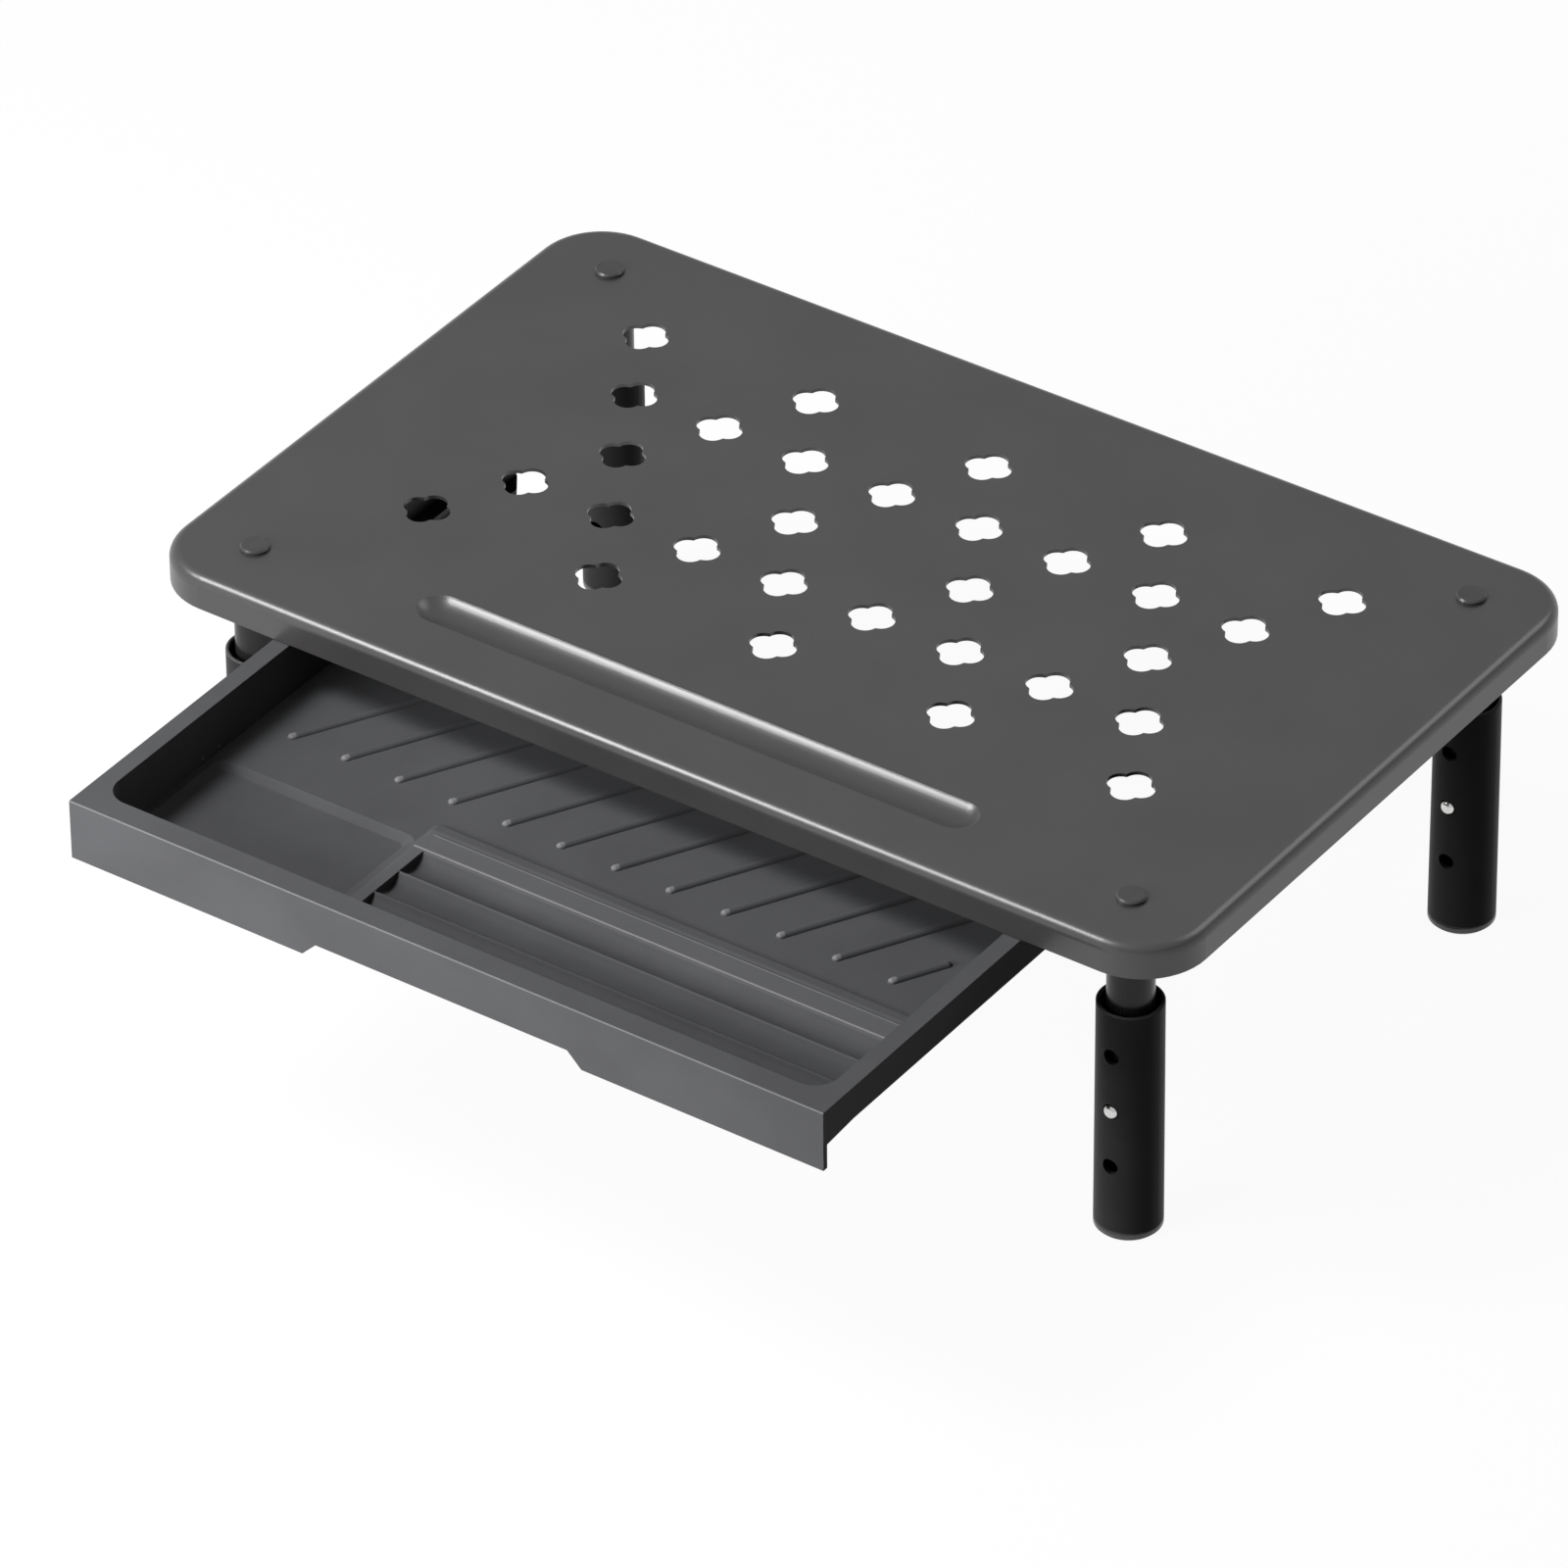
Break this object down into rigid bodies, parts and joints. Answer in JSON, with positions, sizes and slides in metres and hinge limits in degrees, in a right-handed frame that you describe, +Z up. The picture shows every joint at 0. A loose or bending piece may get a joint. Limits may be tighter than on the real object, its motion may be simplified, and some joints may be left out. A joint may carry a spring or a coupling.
{
  "type": "monitor stand with drawer",
  "caption": "Perforated steel monitor riser on telescopic round legs with spring buttons, a pressed pen trough in the deck and a shallow sliding drawer with pen channels and a pocket.",
  "frame": {"origin": "centre of the deck's flat top face", "axes": "+Z up out of the deck, +X along its width to the right as seen from the front, -Y towards the front, where the drawer comes out"},
  "size_m": [0.37, 0.33, 0.1197],
  "materials": {
    "deck_paint": "satin black powder coat on pressed sheet steel",
    "leg_paint": "satin black powder coat on round steel tube",
    "stud_paint": "black coated low round stud heads",
    "zinc_steel": "bright zinc plate",
    "button_steel": "polished nickel plate",
    "spring_steel": "bare spring strip",
    "nylon": "black moulded nylon",
    "foot_rubber": "black moulded rubber",
    "rail_plastic": "black moulded plastic",
    "drawer_plastic": "dark grey moulded plastic with a fine grain"
  },
  "bodies": {
    "stand": {"top_plate": "deck_paint", "leg_studs": "stud_paint", "rail_right": "rail_plastic", "rail_left": "rail_plastic", "rail_nuts": "zinc_steel", "upper_tube_front_left": "leg_paint", "tube_plug_front_left": "zinc_steel", "glide_sleeve_front_left": "nylon", "button_spring_front_left": "spring_steel", "upper_tube_front_right": "leg_paint", "tube_plug_front_right": "zinc_steel", "glide_sleeve_front_right": "nylon", "button_spring_front_right": "spring_steel", "upper_tube_back_left": "leg_paint", "tube_plug_back_left": "zinc_steel", "glide_sleeve_back_left": "nylon", "button_spring_back_left": "spring_steel", "upper_tube_back_right": "leg_paint", "tube_plug_back_right": "zinc_steel", "glide_sleeve_back_right": "nylon", "button_spring_back_right": "spring_steel"},
    "drawer": {"drawer_tray": "drawer_plastic"},
    "leg_front_left": {"lower_tube_front_left": "leg_paint", "guide_bush_front_left": "nylon", "foot_cap_front_left": "foot_rubber"},
    "button_front_left": {"snap_button_front_left": "button_steel"},
    "leg_front_right": {"lower_tube_front_right": "leg_paint", "guide_bush_front_right": "nylon", "foot_cap_front_right": "foot_rubber"},
    "button_front_right": {"snap_button_front_right": "button_steel"},
    "leg_back_left": {"lower_tube_back_left": "leg_paint", "guide_bush_back_left": "nylon", "foot_cap_back_left": "foot_rubber"},
    "button_back_left": {"snap_button_back_left": "button_steel"},
    "leg_back_right": {"lower_tube_back_right": "leg_paint", "guide_bush_back_right": "nylon", "foot_cap_back_right": "foot_rubber"},
    "button_back_right": {"snap_button_back_right": "button_steel"}
  },
  "joints": [
    {"name": "drawer_slide", "type": "slide", "parent": "stand", "child": "drawer", "axis": [0, -1, 0], "range_m": [-0.1, 0.0169]},
    {"name": "leg_height_front_left", "type": "slide", "parent": "stand", "child": "leg_front_left", "axis": [0, 0, -1], "range_m": [-0.02, 0.02], "deforming": ["snap_button_front_left"]},
    {"name": "button_press_front_left", "type": "slide", "parent": "stand", "child": "button_front_left", "axis": [0, 1, 0], "range_m": [0, 0.0026], "stiffness_N_per_m": 800, "springref_m": -0.005, "deforming": ["button_spring_front_left"]},
    {"name": "leg_height_front_right", "type": "slide", "parent": "stand", "child": "leg_front_right", "axis": [0, 0, -1], "range_m": [-0.02, 0.02], "deforming": ["snap_button_front_right"]},
    {"name": "button_press_front_right", "type": "slide", "parent": "stand", "child": "button_front_right", "axis": [0, 1, 0], "range_m": [0, 0.0026], "stiffness_N_per_m": 800, "springref_m": -0.005, "deforming": ["button_spring_front_right"]},
    {"name": "leg_height_back_left", "type": "slide", "parent": "stand", "child": "leg_back_left", "axis": [0, 0, -1], "range_m": [-0.02, 0.02], "deforming": ["snap_button_back_left"]},
    {"name": "button_press_back_left", "type": "slide", "parent": "stand", "child": "button_back_left", "axis": [0, 1, 0], "range_m": [0, 0.0026], "stiffness_N_per_m": 800, "springref_m": -0.005, "deforming": ["button_spring_back_left"]},
    {"name": "leg_height_back_right", "type": "slide", "parent": "stand", "child": "leg_back_right", "axis": [0, 0, -1], "range_m": [-0.02, 0.02], "deforming": ["snap_button_back_right"]},
    {"name": "button_press_back_right", "type": "slide", "parent": "stand", "child": "button_back_right", "axis": [0, 1, 0], "range_m": [0, 0.0026], "stiffness_N_per_m": 800, "springref_m": -0.005, "deforming": ["button_spring_back_right"]}
  ]
}
